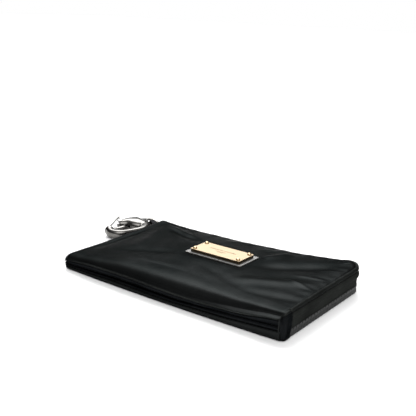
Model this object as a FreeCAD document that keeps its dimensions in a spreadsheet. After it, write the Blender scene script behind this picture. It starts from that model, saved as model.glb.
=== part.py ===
"""Flat zippered pouch with a screwed nameplate and a claw hook, as a parametric FreeCAD document.

The pouch lies on its back.  X runs along its length, Y from the folded bottom edge to the far
edge, Z up.  The origin is the centre of the underside.  One zip closes the right side, the
rounded corner and the far side; the near and left sides are folded gussets.  The front half
opens about its near edge, the slider runs along the far side, and the hook lies beside the
left edge on a webbing tab.  All sizes are in millimetres.
"""
import FreeCAD
import Part
import math
import os
import re

SIZES = [
    ("pouch_length", 160.0, "overall length of the fabric body"),
    ("pouch_width", 96.0, "overall width of the fabric body"),
    ("corner_radius", 14.0, "rounded corner that the zip turns round"),
    ("panel_height", 15.0, "top of the front panel over its level part"),
    ("left_height", 9.0, "top of the front panel at the left edge"),
    ("level_start", -18.0, "X where the panel stops rising and runs level"),
    ("fabric", 1.2, "outer fabric with its foam"),
    ("lining", 0.4, "lining fabric"),
    ("lining_drop", 2.4, "front lining's upper face below the panel's top"),
    ("lining_inset", 4.1, "lining's edge in from the zip sides"),
    ("lining_margin", 9.0, "lining's edge in from the folded sides"),
    ("welt_out", 0.6, "welt stands out past the outline"),
    ("welt_in", 2.4, "welt reaches in from the outline"),
    ("welt_depth", 2.2, "front welt's depth"),
    ("welt_rise", 0.3, "front welt stands above the panel"),
    ("seam_gap", 0.1, "gap between a panel's cut edge and its welt"),
    ("tape_inset", 1.0, "zip tape's middle in from the outline"),
    ("tape", 0.6, "zip tape thickness"),
    ("chain_level", 4.6, "height of the middle of the zip chain"),
    ("chain_half", 2.3, "half the width of the closed chain"),
    ("chain_thick", 2.4, "thickness of the moulded teeth"),
    ("tape_edge", 1.2, "tape edge from the middle of the chain"),
    ("tooth_pitch", 3.3, "tooth spacing on each tape"),
    ("tooth_root", 2.3, "tooth width on the tape"),
    ("tooth_head", 1.4, "tooth width where it meshes"),
    ("tooth_reach", 1.5, "head reaches past the middle of the chain"),
    ("tooth_slot", 0.72, "slot in the tooth's root for the tape"),
    ("zip_start", -41.5, "Y of the zip tapes' near end"),
    ("first_tooth", -38.5, "Y of the first tooth"),
    ("zip_end", -76.0, "X of the zip tapes' left end"),
    ("last_tooth", -61.5, "X of the last tooth"),
    ("stop_right", -73.2, "right face of the top stops"),
    ("stop_length", 1.8, "length of a top stop along the zip"),
    ("stop_thick", 2.0, "thickness of a top stop across the tape"),
    ("slider_left", -72.0, "left end of the slider, zip closed"),
    ("slider_length", 12.0, "slider length"),
    ("slider_half", 3.0, "half the slider's height"),
    ("slider_gap", 3.0, "room between the slider's two plates"),
    ("slider_plate", 1.2, "slider plate thickness"),
    ("slider_slot", 1.5, "slot between the flanges for the tape"),
    ("diamond_half", 0.9, "half the height of the slider's wedge"),
    ("diamond_length", 3.0, "length of the slider's wedge"),
    ("bail_length", 7.0, "length of the arch that holds the puller"),
    ("bail_width", 2.0, "width of the arch"),
    ("bail_room", 1.4, "room under the arch"),
    ("bail_metal", 1.1, "thickness of the arch"),
    ("bar_radius", 0.5, "puller's cross bar"),
    ("puller_length", 20.0, "puller from its bar to its tip"),
    ("puller_width", 5.2, "puller width"),
    ("puller_thick", 1.1, "puller thickness"),
    ("puller_arm", 1.2, "width of each arm beside the arch"),
    ("puller_window", 6.0, "window from the bar to the puller's plate"),
    ("gusset_fabric", 0.8, "gusset fabric"),
    ("gusset_fold_left", 8.0, "depth of the bottom gusset's fold at the left"),
    ("gusset_fold_right", 2.5, "depth of the bottom gusset's fold at the right"),
    ("side_fold", 6.5, "depth of the left gusset's fold"),
    ("plate_x", 5.3, "nameplate centre, along the pouch"),
    ("plate_y", 2.5, "nameplate centre, across the pouch"),
    ("base_length", 40.5, "backing plate length"),
    ("base_width", 21.0, "backing plate width"),
    ("base_thick", 0.8, "backing plate thickness"),
    ("face_length", 36.0, "face plate length"),
    ("face_width", 16.5, "face plate width"),
    ("face_thick", 1.8, "face plate thickness"),
    ("plate_corner", 0.8, "corner radius of both plates"),
    ("screw_inset", 2.1, "screw centre in from the face plate's edges"),
    ("screw_shank", 0.8, "screw shank radius"),
    ("screw_hole", 0.86, "screw hole radius"),
    ("screw_head", 1.35, "screw head radius"),
    ("screw_rise", 0.7, "screw head's height"),
    ("backer_thick", 0.9, "inner backing strip thickness"),
    ("hook_x", -93.4, "hook datum, X"),
    ("hook_y", 53.0, "hook datum, Y"),
    ("hook_turn", -106.57, "direction of the hook's length from +X, degrees"),
    ("hook_thick", 7.0, "hook body thickness"),
    ("hook_arm", 3.5, "thickness of the hook's back"),
    ("shoulder_radius", 12.0, "hook's round shoulder"),
    ("eye_radius", 3.0, "hole in the hook's eye"),
    ("eye_outer", 6.0, "outer radius of the hook's eye"),
    ("eye_low", 2.2, "underside of the hook's thin eye"),
    ("eye_high", 4.8, "top of the hook's thin eye"),
    ("nose_radius", 3.4, "ball nose of the hook"),
    ("nose_level", 4.2, "height of the ball nose"),
    ("cheek_thick", 2.0, "each cheek beside the gate"),
    ("cheek_half", 3.2, "half the width of a cheek"),
    ("pin_radius", 1.0, "gate pin"),
    ("pin_head", 1.8, "rivet head of the gate pin"),
    ("gate_bore", 1.06, "bore of the gate"),
    ("gate_low", 2.9, "underside of the gate"),
    ("gate_high", 4.8, "top of the gate"),
    ("strap_width", 4.5, "webbing tab width"),
    ("strap", 1.2, "webbing thickness"),
    ("strap_low", 0.6, "underside of the tab's loop"),
    ("strap_high", 6.4, "top of the tab's loop"),
    ("strap_reach", 15.6, "tab from the seam to the outside of its loop"),
    ("strap_x", -80.9, "tab start at the seam, X"),
    ("strap_y", 46.4, "tab start at the seam, Y"),
    ("strap_turn", 154.85, "direction of the tab from +X, degrees"),
]

# The hook's own plan, in its frame: first along its length from the eye to the nose, second
# towards the pouch.
SHOULDER = (9.0, 1.0)
EYE = (0.5, -1.0)
NOSE = (37.0, 1.6)
PIVOT = (23.0, -7.8)
GATE_ROOT = (21.0, -1.5)
GATE_TIP = (32.3, -1.2)
BOW_END = (34.7, -4.3)
BOW_TOP = (16.8, -17.8)
CLAW_END = 40.4
CLAW_SIDE = 15.5
MARGIN = 10.0

doc = FreeCAD.newDocument("zippered_pouch")
sheet = doc.addObject("Spreadsheet::Sheet", "dims")
for row, (alias, value, meaning) in enumerate(SIZES, start=1):
    sheet.set(f"A{row}", alias)
    sheet.set(f"B{row}", str(value))
    sheet.set(f"C{row}", meaning)
    sheet.setAlias(f"B{row}", alias)
doc.recompute()
nodes = []


def mm(alias):
    """Value of a cell of the sheet."""
    return float(sheet.get(alias))


def formula(text):
    """Turn aliases in an arithmetic formula into references to the sheet's cells."""
    return re.sub(r"[a-z][a-z_]+", lambda found: "dims." + found.group(), text)


def bind(item, **formulas):
    """Bind properties of an object to formulas in the sheet's aliases."""
    for name, text in formulas.items():
        item.setExpression(name, formula(text))
    return item


def node(item, label):
    """Name a finished sub-part, which is then written to its own file."""
    item.Label = label
    nodes.append(item)
    return item


def block(name, x, y, z):
    """Box between two planes on each axis, each given as a formula."""
    box = doc.addObject("Part::Box", name)
    for axis, side, (low, high) in zip("xyz", ("Length", "Width", "Height"), (x, y, z)):
        box.setExpression(f"Placement.Base.{axis}", formula(low))
        box.setExpression(side, formula(f"({high}) - ({low})"))
    return box


def rod(name, x, y, z, radius):
    """Upright cylinder between two levels, all given as formulas."""
    cylinder = doc.addObject("Part::Cylinder", name)
    for axis, text in zip("xyz", (x, y, z[0])):
        cylinder.setExpression(f"Placement.Base.{axis}", formula(text))
    return bind(cylinder, Radius=radius, Height=f"({z[1]}) - ({z[0]})")


def fuse(name, *shapes):
    joined = doc.addObject("Part::MultiFuse", name)
    joined.Shapes = list(shapes)
    joined.Refine = True
    return joined


def cut(name, base, tool):
    result = doc.addObject("Part::Cut", name)
    result.Base = base
    result.Tool = tool
    return result


def common(name, base, tool):
    result = doc.addObject("Part::Common", name)
    result.Base = base
    result.Tool = tool
    return result


def own_shape(name, shape):
    """Feature for a shape that no parametric feature makes, built from the sheet's values."""
    feature = doc.addObject("Part::Feature", name)
    feature.Shape = shape
    feature.Placement = FreeCAD.Placement()
    return feature


def pad(name, edges, low, high):
    """PartDesign body: a closed sketch on the XY plane padded between two levels."""
    body = doc.addObject("PartDesign::Body", name)
    plane = next(item for item in body.Origin.OriginFeatures if item.Role == "XY_Plane")
    sketch = body.newObject("Sketcher::SketchObject", name + "_sketch")
    sketch.AttachmentSupport = [(plane, "")]
    sketch.MapMode = "FlatFace"
    sketch.addGeometry(edges, False)
    feature = body.newObject("PartDesign::Pad", name + "_pad")
    feature.Profile = sketch
    bind(feature, Length=f"({high}) - ({low})")
    body.Tip = feature
    body.setExpression("Placement.Base.z", formula(low))
    return body


def point(x, y, z=0.0):
    return FreeCAD.Vector(x, y, z)


def polygon(*corners):
    """Closed loop of straight sketch lines."""
    ends = [point(*corner) for corner in corners]
    return [Part.LineSegment(a, b) for a, b in zip(ends, ends[1:] + ends[:1])]


def zip_run(inset, near_y, left_x):
    """Right side, rounded corner and far side of the outline, moved in by inset."""
    half_length, half_width = mm("pouch_length") / 2, mm("pouch_width") / 2
    radius = mm("corner_radius") - inset
    centre = point(half_length - mm("corner_radius"), half_width - mm("corner_radius"))
    side, far = half_length - inset, half_width - inset
    diagonal = point(radius, radius) * math.sqrt(0.5)
    return [
        Part.LineSegment(point(side, near_y), point(side, centre.y)),
        Part.Arc(point(side, centre.y), centre + diagonal, point(centre.x, far)),
        Part.LineSegment(point(centre.x, far), point(left_x, far)),
    ]


def outline(zip_inset, fold_inset):
    """Whole plan outline, moved in differently on the zip sides and the folded sides."""
    left = -mm("pouch_length") / 2 + fold_inset
    near = -mm("pouch_width") / 2 + fold_inset
    run = zip_run(zip_inset, near, left)
    corner = point(left, near)
    return run + [Part.LineSegment(run[-1].EndPoint, corner), Part.LineSegment(corner, run[0].StartPoint)]


def ribbon(outer, inner, near_y, left_x):
    """Strip of plan between two insets, along the zip sides only."""
    out, back = zip_run(outer, near_y, left_x), zip_run(inner, near_y, left_x)
    ends = [
        Part.LineSegment(out[-1].EndPoint, back[-1].EndPoint),
        Part.LineSegment(back[0].StartPoint, out[0].StartPoint),
    ]
    return out + back + ends


def panel_top(x):
    """Height of the front panel's top at x."""
    if x >= mm("level_start"):
        return mm("panel_height")
    radius = slope_radius()
    return mm("panel_height") - radius + math.sqrt(radius ** 2 - (x - mm("level_start")) ** 2)


def slope_radius():
    """Radius of the arc by which the front panel falls from its level part to the left edge."""
    run = mm("level_start") + mm("pouch_length") / 2
    fall = mm("panel_height") - mm("left_height")
    return (run ** 2 + fall ** 2) / (2 * fall)


def panel_layer(name, above, below):
    """Layer between two offsets of the front panel's top, wider than the pouch all round."""
    start, level, radius = mm("level_start"), mm("panel_height"), slope_radius()
    side = mm("pouch_width") / 2 + MARGIN
    right = mm("pouch_length") / 2 + MARGIN
    sweep = math.asin((start + mm("pouch_length") / 2 + MARGIN) / radius)

    def spot(offset, angle):
        reach = radius + offset
        return point(start - reach * math.sin(angle), -side, level - radius + reach * math.cos(angle))

    def bend(offset):
        return Part.Arc(spot(offset, 0), spot(offset, sweep / 2), spot(offset, sweep)).toShape()

    upper, lower = point(right, -side, level + above), point(right, -side, level - below)
    edges = [
        Part.LineSegment(upper, spot(above, 0)).toShape(),
        bend(above),
        Part.LineSegment(spot(above, sweep), spot(-below, sweep)).toShape(),
        bend(-below),
        Part.LineSegment(spot(-below, 0), lower).toShape(),
        Part.LineSegment(lower, upper).toShape(),
    ]
    face = Part.Face(Part.Wire(Part.__sortEdges__(edges)))
    return own_shape(name, face.extrude(point(0, 2 * side, 0)))


def fold_section(place, outer, inner, low, high, fabric):
    """Sideways V of folded fabric: place puts (depth, height) into space."""
    middle = (low + high) / 2
    corners = [
        (outer, low), (outer, low + fabric), (inner - fabric, middle), (outer, high - fabric),
        (outer, high), (inner, middle),
    ]
    ends = [place(*corner) for corner in corners]
    return Part.makePolygon(ends + ends[:1])


# ---------------------------------------------------------------- fabric halves

def back_half():
    """Back panel, its lining and welt, flat on the ground plane."""
    inset = mm("welt_in") + mm("seam_gap")
    node(pad("back_panel_body", outline(inset, 0.0), "0", "fabric"), "back_panel")
    lining_edge = outline(mm("lining_inset"), mm("lining_margin"))
    node(pad("back_lining_body", lining_edge, "fabric + seam_gap", "fabric + seam_gap + lining"), "back_lining")
    near, left = -mm("pouch_width") / 2, -mm("pouch_length") / 2
    welt = ribbon(-mm("welt_out"), mm("welt_in"), near, left)
    node(pad("back_welt_body", welt, "0", "fabric"), "back_welt")


def front_half():
    """Front panel, its lining and welt, curved down towards the left."""
    inset = mm("welt_in") + mm("seam_gap")
    near, left = -mm("pouch_width") / 2, -mm("pouch_length") / 2
    panel = pad("front_panel_block", outline(inset, 0.0), "0", "panel_height + 5")
    layer = panel_layer("front_panel_layer", 0.0, mm("fabric"))
    holes = screw_set("panel_holes", "screw_hole", "panel_height - 5", "panel_height + 5")
    sheet_panel = common("front_panel_sheet", panel, layer)
    node(cut("front_panel_cut", sheet_panel, holes), "front_panel")
    lining = pad("front_lining_block", outline(mm("lining_inset"), mm("lining_margin")), "0", "panel_height")
    lining_layer = panel_layer("front_lining_layer", -mm("lining_drop"), mm("lining_drop") + mm("lining"))
    node(common("front_lining_sheet", lining, lining_layer), "front_lining")
    strip = ribbon(-mm("welt_out"), mm("welt_in"), near, left + mm("seam_gap"))
    welt = pad("front_welt_block", strip, "0", "panel_height + 5")
    welt_layer = panel_layer("front_welt_layer", mm("welt_rise"), mm("welt_depth") - mm("welt_rise"))
    node(common("front_welt_strip", welt, welt_layer), "front_welt")


def gussets():
    """Folded fabric along the near side and the left side, between the two panels."""
    fabric, low = mm("gusset_fabric"), mm("fabric") + mm("seam_gap")
    near = -mm("pouch_width") / 2 + fabric / 2
    right, left = mm("pouch_length") / 2 - mm("welt_in"), -mm("pouch_length") / 2 + fabric
    sections = []
    for x, fold in ((left, mm("gusset_fold_left")), (mm("level_start"), mm("gusset_fold_left") / 2),
                    (right, mm("gusset_fold_right"))):
        high = panel_top(x) - mm("fabric") - mm("seam_gap") * 2
        sections.append(fold_section(lambda depth, z, x=x: point(x, depth, z), near, near + fold, low, high, fabric))
    node(own_shape("bottom_fold", Part.makeLoft(sections, True, True)), "bottom_gusset")
    outer = -mm("pouch_length") / 2 + fabric / 2
    high = panel_top(outer) - mm("fabric") - mm("seam_gap") * 3
    inner = outer + mm("side_fold")
    ends = (near + mm("gusset_fold_left") + fabric, mm("pouch_width") / 2 - mm("corner_radius") / 2 - fabric)
    sections = [
        fold_section(lambda depth, z, y=y: point(depth, y, z), outer, inner, low, high, fabric)
        for y in ends
    ]
    node(own_shape("left_fold", Part.makeLoft(sections, True, True)), "left_gusset")


# ---------------------------------------------------------------- zip

def tapes():
    """Zip tapes: upright strips that the two tooth rows sit on."""
    outer = mm("tape_inset") - mm("tape") / 2
    strip = ribbon(outer, outer + mm("tape"), mm("zip_start"), mm("zip_end"))
    node(pad("tape_back_body", strip, "fabric", "chain_level - tape_edge"), "zip_tape_back")
    tall = pad("tape_front_block", strip, "chain_level + tape_edge", "panel_height")
    under = panel_layer("tape_front_layer", -mm("welt_depth") + mm("welt_rise"), mm("panel_height"))
    node(common("tape_front_strip", tall, under), "zip_tape_front")


def zip_place(along):
    """Placement at a distance along the middle of the chain, from the first tooth's line."""
    inset, bend = mm("tape_inset"), mm("corner_radius")
    centre = point(mm("pouch_length") / 2 - bend, mm("pouch_width") / 2 - bend)
    straight = centre.y - mm("first_tooth")
    radius = bend - inset
    if along < straight:
        spot, angle = point(centre.x + radius, mm("first_tooth") + along), 90.0
    elif along < straight + radius * math.pi / 2:
        turned = (along - straight) / radius
        spot = centre + point(math.cos(turned), math.sin(turned)) * radius
        angle = 90.0 + math.degrees(turned)
    else:
        left_run = along - straight - radius * math.pi / 2
        spot, angle = point(centre.x - left_run, centre.y + radius), 180.0
    return FreeCAD.Placement(spot, FreeCAD.Rotation(point(0, 0, 1), angle))


def tooth(up):
    """One moulded tooth at the origin, its run along X; up is +1 on the front tape, -1 on the back."""
    half, thick, level = mm("chain_half"), mm("chain_thick"), mm("chain_level")
    edge, reach = mm("tape_edge"), mm("tooth_reach")

    def bar(width, depth, inner, outer):
        low, high = sorted((level + up * inner, level + up * outer))
        return Part.makeBox(width, depth, high - low, point(-width / 2, -depth / 2, low))

    root = bar(mm("tooth_root"), thick, edge - mm("tape") / 2, half)
    head = bar(mm("tooth_head"), thick, reach - half, half)
    slot = bar(mm("tooth_root") * 2, mm("tooth_slot"), edge - mm("seam_gap"), half * 2)
    return root.fuse(head).cut(slot).removeSplitter()


def teeth():
    """Two rows of moulded teeth, half a pitch apart, from the near end to the slider."""
    bend = mm("corner_radius")
    straight = mm("pouch_width") / 2 - bend - mm("first_tooth")
    corner = (bend - mm("tape_inset")) * math.pi / 2
    far = mm("pouch_length") / 2 - bend - mm("last_tooth")
    count = int((straight + corner + far) / mm("tooth_pitch"))
    for label, up, shift in (("zip_teeth_front", 1, 0.0), ("zip_teeth_back", -1, 0.5)):
        row = []
        for index in range(count):
            copy = tooth(up)
            copy.Placement = zip_place((index + shift) * mm("tooth_pitch"))
            row.append(copy)
        node(own_shape(label + "_row", Part.makeCompound(row)), label)


def stops():
    """Top stops beside the closed slider, the bottom stop and the end tab at the near corner."""
    tape_y = "pouch_width / 2 - tape_inset"
    across = (f"{tape_y} - stop_thick / 2", f"{tape_y} + stop_thick / 2")
    slot_across = (f"{tape_y} - tooth_slot / 2", f"{tape_y} + tooth_slot / 2")
    along = ("stop_right - stop_length", "stop_right")
    for label, low, high, slot_low, slot_high in (
            ("top_stop_front", "chain_level + tape_edge / 2", "chain_level + chain_half",
             "chain_level + tape_edge - seam_gap", "chain_level + chain_half * 2"),
            ("top_stop_back", "chain_level - chain_half", "chain_level - tape_edge / 2",
             "chain_level - chain_half * 2", "chain_level - tape_edge + seam_gap")):
        body = block(label + "_block", along, across, (low, high))
        slot = block(label + "_slot", ("stop_right - stop_length * 2", "stop_right + stop_length"),
                     slot_across, (slot_low, slot_high))
        node(cut(label + "_cut", body, slot), label)
    tape_x = "pouch_length / 2 - tape_inset"
    stop = block("bottom_stop_block", (f"{tape_x} - stop_thick / 2", f"{tape_x} + stop_thick / 2"),
                 ("zip_start + seam_gap", "zip_start + stop_length"),
                 ("chain_level - chain_half", "chain_level + tape_edge / 2"))
    slot = block("bottom_stop_slot", (f"{tape_x} - tooth_slot / 2", f"{tape_x} + tooth_slot / 2"),
                 ("zip_start - stop_length", "zip_start + stop_length * 2"),
                 ("chain_level - chain_half * 2", "chain_level - tape_edge + seam_gap"))
    node(cut("bottom_stop_cut", stop, slot), "zip_bottom_stop")
    node(block("end_tab_block", ("pouch_length / 2 - chain_thick", "pouch_length / 2 + welt_out"),
               ("-pouch_width / 2 + gusset_fabric", "zip_start - 4 * seam_gap"),
               ("fabric + seam_gap", "chain_level + slider_half")), "zip_end_tab")


def slider():
    """Slider: two plates joined by a wedge, flanges beside the chain and an arch for the puller."""
    tape_y = "pouch_width / 2 - tape_inset"
    inner_y, outer_y = f"({tape_y} - slider_gap / 2)", f"({tape_y} + slider_gap / 2)"
    along = ("slider_left", "slider_left + slider_length")
    level = ("chain_level - slider_half", "chain_level + slider_half")
    parts = [
        block("slider_inner", along, (f"{inner_y} - slider_plate", inner_y), level),
        block("slider_outer", along, (outer_y, f"{outer_y} + slider_plate"), level),
        block("slider_wedge", ("slider_left", "slider_left + diamond_length"), (inner_y, outer_y),
              ("chain_level - diamond_half", "chain_level + diamond_half")),
    ]
    slot_low, slot_high = f"{tape_y} - slider_slot / 2", f"{tape_y} + slider_slot / 2"
    for word, low, high in (("upper", "chain_level + slider_half - 0.5", "chain_level + slider_half"),
                            ("lower", "chain_level - slider_half", "chain_level - slider_half + 0.5")):
        parts.append(block(f"slider_{word}_in", along, (inner_y, slot_low), (low, high)))
        parts.append(block(f"slider_{word}_out", along, (slot_high, outer_y), (low, high)))
    face = f"({outer_y} + slider_plate)"
    middle = "(slider_left + slider_length / 2)"
    arch = block("bail_block", (f"{middle} - bail_length / 2", f"{middle} + bail_length / 2"),
                 (face, f"{face} + bail_room + bail_metal"),
                 ("chain_level - bail_width / 2", "chain_level + bail_width / 2"))
    room = block("bail_room_block", (f"{middle} - bail_length / 2 + bail_metal",
                                     f"{middle} + bail_length / 2 - bail_metal"),
                 (face, f"{face} + bail_room"),
                 ("chain_level - bail_width", "chain_level + bail_width"))
    parts.append(cut("bail", arch, room))
    node(fuse("slider_fuse", *parts), "zip_slider")


def puller():
    """Puller: a tongue with a window, whose cross bar passes under the slider's arch."""
    bar_x = "(slider_left + slider_length / 2)"
    bar_y = "(pouch_width / 2 - tape_inset + slider_gap / 2 + slider_plate + bail_room / 2)"
    thick = (f"{bar_y} - puller_thick / 2", f"{bar_y} + puller_thick / 2")
    low, high = "chain_level - puller_width / 2", "chain_level + puller_width / 2"
    parts = [
        rod("puller_bar", bar_x, bar_y, (low, high), "bar_radius"),
        block("puller_tongue", (f"{bar_x} + puller_window", f"{bar_x} + puller_length"), thick, (low, high)),
    ]
    for word, arm_low, arm_high in (("low", low, f"{low} + puller_arm"), ("high", f"{high} - puller_arm", high)):
        parts.append(block(f"puller_{word}_arm", (bar_x, f"{bar_x} + puller_window"), thick, (arm_low, arm_high)))
        parts.append(rod(f"puller_{word}_end", bar_x, bar_y, (arm_low, arm_high), "puller_thick / 2"))
    node(fuse("puller_fuse", *parts), "zip_puller")


# ---------------------------------------------------------------- nameplate

def screw_set(name, radius, low, high):
    """Four upright rods at the nameplate's screw places."""
    rods = []
    for index, (side, end) in enumerate(((-1, -1), (1, -1), (1, 1), (-1, 1))):
        x = f"plate_x + {side} * (face_length / 2 - screw_inset)"
        y = f"plate_y + {end} * (face_width / 2 - screw_inset)"
        rods.append(rod(f"{name}_{index}", x, y, (low, high), radius))
    return fuse(name, *rods)


def rounded_plate(name, length, width, low, high):
    """Nameplate layer: a rectangle with rounded corners, pierced for the screws."""
    half_x, half_y, bend = mm(length) / 2, mm(width) / 2, mm("plate_corner")
    centre = point(mm("plate_x"), mm("plate_y"))
    edges, ends = [], []
    for turn in range(4):
        sx, sy = ((1, 1), (-1, 1), (-1, -1), (1, -1))[turn]
        hub = centre + point(sx * (half_x - bend), sy * (half_y - bend))
        first, last = math.radians(90 * turn), math.radians(90 * turn + 90)
        spots = [hub + point(math.cos(a), math.sin(a)) * bend for a in (first, (first + last) / 2, last)]
        edges.append(Part.Arc(*spots))
        ends.append((spots[0], spots[2]))
    for turn in range(4):
        edges.append(Part.LineSegment(ends[turn][1], ends[(turn + 1) % 4][0]))
    plate = pad(name + "_block", edges, low, high)
    return cut(name + "_cut", plate, screw_set(name + "_holes", "screw_hole", low + " - 1", high + " + 1"))


def nameplate():
    """Backing plate, face plate, four domed screws and the strip inside that they grip."""
    base, face = "panel_height", "panel_height + base_thick"
    top = "panel_height + base_thick + face_thick"
    node(rounded_plate("nameplate_base", "base_length", "base_width", base, face), "nameplate_base")
    node(rounded_plate("nameplate_face", "face_length", "face_width", face, top), "nameplate_face")
    grip = "panel_height - fabric - backer_thick"
    backer = block("backer_block", ("plate_x - face_length / 2", "plate_x + face_length / 2"),
                   ("plate_y - face_width / 2", "plate_y + face_width / 2"),
                   (grip, "panel_height - fabric"))
    taps = screw_set("backer_holes", "screw_shank", grip + " - 1", "panel_height")
    node(cut("backer_cut", backer, taps), "nameplate_backer")
    screws = []
    radius, rise = mm("screw_head"), mm("screw_rise")
    ball = (radius ** 2 + rise ** 2) / (2 * rise)
    level = mm("panel_height") + mm("base_thick") + mm("face_thick")
    low = mm("panel_height") - mm("fabric") - mm("backer_thick")
    for side in (-1, 1):
        for end in (-1, 1):
            spot = point(mm("plate_x") + side * (mm("face_length") / 2 - mm("screw_inset")),
                         mm("plate_y") + end * (mm("face_width") / 2 - mm("screw_inset")))
            cap = Part.makeSphere(ball, spot + point(0, 0, level + rise - ball))
            keep = Part.makeCylinder(radius * 2, rise * 2, spot + point(0, 0, level))
            shank = Part.makeCylinder(mm("screw_shank"), level - low, spot + point(0, 0, low))
            screws.append(cap.common(keep).fuse(shank).removeSplitter())
    node(own_shape("screw_group", Part.makeCompound(screws)), "nameplate_screws")


# ---------------------------------------------------------------- tab and hook

def strap_place():
    return FreeCAD.Placement(point(mm("strap_x"), mm("strap_y")),
                             FreeCAD.Rotation(point(0, 0, 1), mm("strap_turn")))


def tab():
    """Webbing loop through the hook's eye, and its sewn end inside the pouch's corner."""
    band = block("strap_band", ("1", "strap_reach"), ("-strap_width / 2", "strap_width / 2"),
                 ("strap_low", "strap_high"))
    room = block("strap_room", ("strap_reach * 0.4", "strap_reach - strap"), ("-strap_width", "strap_width"),
                 ("strap_low + strap", "strap_high - strap"))
    strap = node(cut("strap_loop", band, room), "tab_strap")
    strap.Placement = strap_place()
    node(block("anchor_block", ("-pouch_length / 2 - 0.3", "stop_right"),
               ("pouch_width / 2 - corner_radius / 2 + 0.2", "pouch_width / 2 - welt_in - 0.2"),
               ("fabric + 2 * seam_gap", "fabric + 3.2")), "tab_anchor")


def hook_place():
    return FreeCAD.Placement(point(mm("hook_x"), mm("hook_y")),
                             FreeCAD.Rotation(point(0, 0, 1), mm("hook_turn")))


def bar_between(name, start, end, width, low, high):
    """Round-ended bar between two plan points of the hook, as a padded sketch."""
    first, last = point(*start), point(*end)
    along = (last - first).normalize()
    side = point(-along.y, along.x) * (width / 2)
    reach = along * (width / 2)
    edges = [
        Part.LineSegment(first + side, last + side),
        Part.Arc(last + side, last + reach, last - side),
        Part.LineSegment(last - side, first - side),
        Part.Arc(first - side, first - reach, first + side),
    ]
    return pad(name, edges, low, high)


def claw_edges(low_a, low_b, high_a, high_b, bend):
    """Rectangle with its two far corners rounded."""
    round_far = (1 - math.sqrt(0.5)) * bend
    low_corner, high_corner = point(high_a - bend, low_b), point(high_a - bend, high_b)
    return [
        Part.LineSegment(point(low_a, low_b), low_corner),
        Part.Arc(low_corner, point(high_a - round_far, low_b + round_far), point(high_a, low_b + bend)),
        Part.LineSegment(point(high_a, low_b + bend), point(high_a, high_b - bend)),
        Part.Arc(point(high_a, high_b - bend), point(high_a - round_far, high_b - round_far), high_corner),
        Part.LineSegment(high_corner, point(low_a, high_b)),
        Part.LineSegment(point(low_a, high_b), point(low_a, low_b)),
    ]


def hook_body():
    """Claw hook: thin eye, round shoulder, straight back, claw, ball nose and two gate cheeks."""
    arm = mm("hook_arm")
    claw = pad("claw_block", claw_edges(SHOULDER[0], NOSE[1] - 2.6, CLAW_END, CLAW_SIDE, 7.0), "0", "hook_thick")
    shoulder = rod("shoulder_disc", str(SHOULDER[0]), str(SHOULDER[1]), ("0", "hook_thick"), "shoulder_radius")
    nose = doc.addObject("Part::Sphere", "nose_ball")
    nose.Placement.Base = point(NOSE[0], NOSE[1], mm("nose_level"))
    bind(nose, Radius="nose_radius")
    solid = fuse("hook_mass", claw, shoulder, nose)
    throat_edges = claw_edges(SHOULDER[0] + 8.4, NOSE[1] - 6.0, NOSE[0] - 1.6, CLAW_SIDE - arm, 5.0)
    throat = pad("throat_block", throat_edges, "-1", "hook_thick + 3")
    sweep = pad("gate_sweep", polygon((15.0, -20.0), (31.5, -20.0), (31.5, 2.0), (15.0, 2.0)),
                "-1", "hook_thick + 3")
    strap_side = pad("strap_side", polygon((-20.0, -20.0), (5.4, -20.0), (5.4, 20.0), (-20.0, 20.0)),
                     "-1", "hook_thick + 3")
    mass = cut("hook_cleared", solid, fuse("hook_clearance", throat, sweep, strap_side))
    eye = rod("eye_disc", str(EYE[0]), str(EYE[1]), ("eye_low", "eye_high"), "eye_outer")
    neck = bar_between("eye_neck", EYE, SHOULDER, 9.0, "eye_low", "eye_high")
    cheeks = [
        bar_between("cheek_low", (12.0, -3.0), PIVOT, 2 * mm("cheek_half"), "0", "cheek_thick"),
        bar_between("cheek_high", (12.0, -3.0), PIVOT, 2 * mm("cheek_half"),
                    "hook_thick - cheek_thick", "hook_thick"),
    ]
    joined = fuse("hook_joined", mass, eye, neck, *cheeks)
    holes = fuse("hook_holes",
                 rod("eye_hole", str(EYE[0]), str(EYE[1]), ("-1", "hook_thick + 1"), "eye_radius"),
                 rod("pin_hole", str(PIVOT[0]), str(PIVOT[1]), ("-1", "hook_thick + 1"), "pin_radius"))
    body = node(cut("hook_pierced", joined, holes), "hook_body")
    body.Placement = hook_place()


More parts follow.
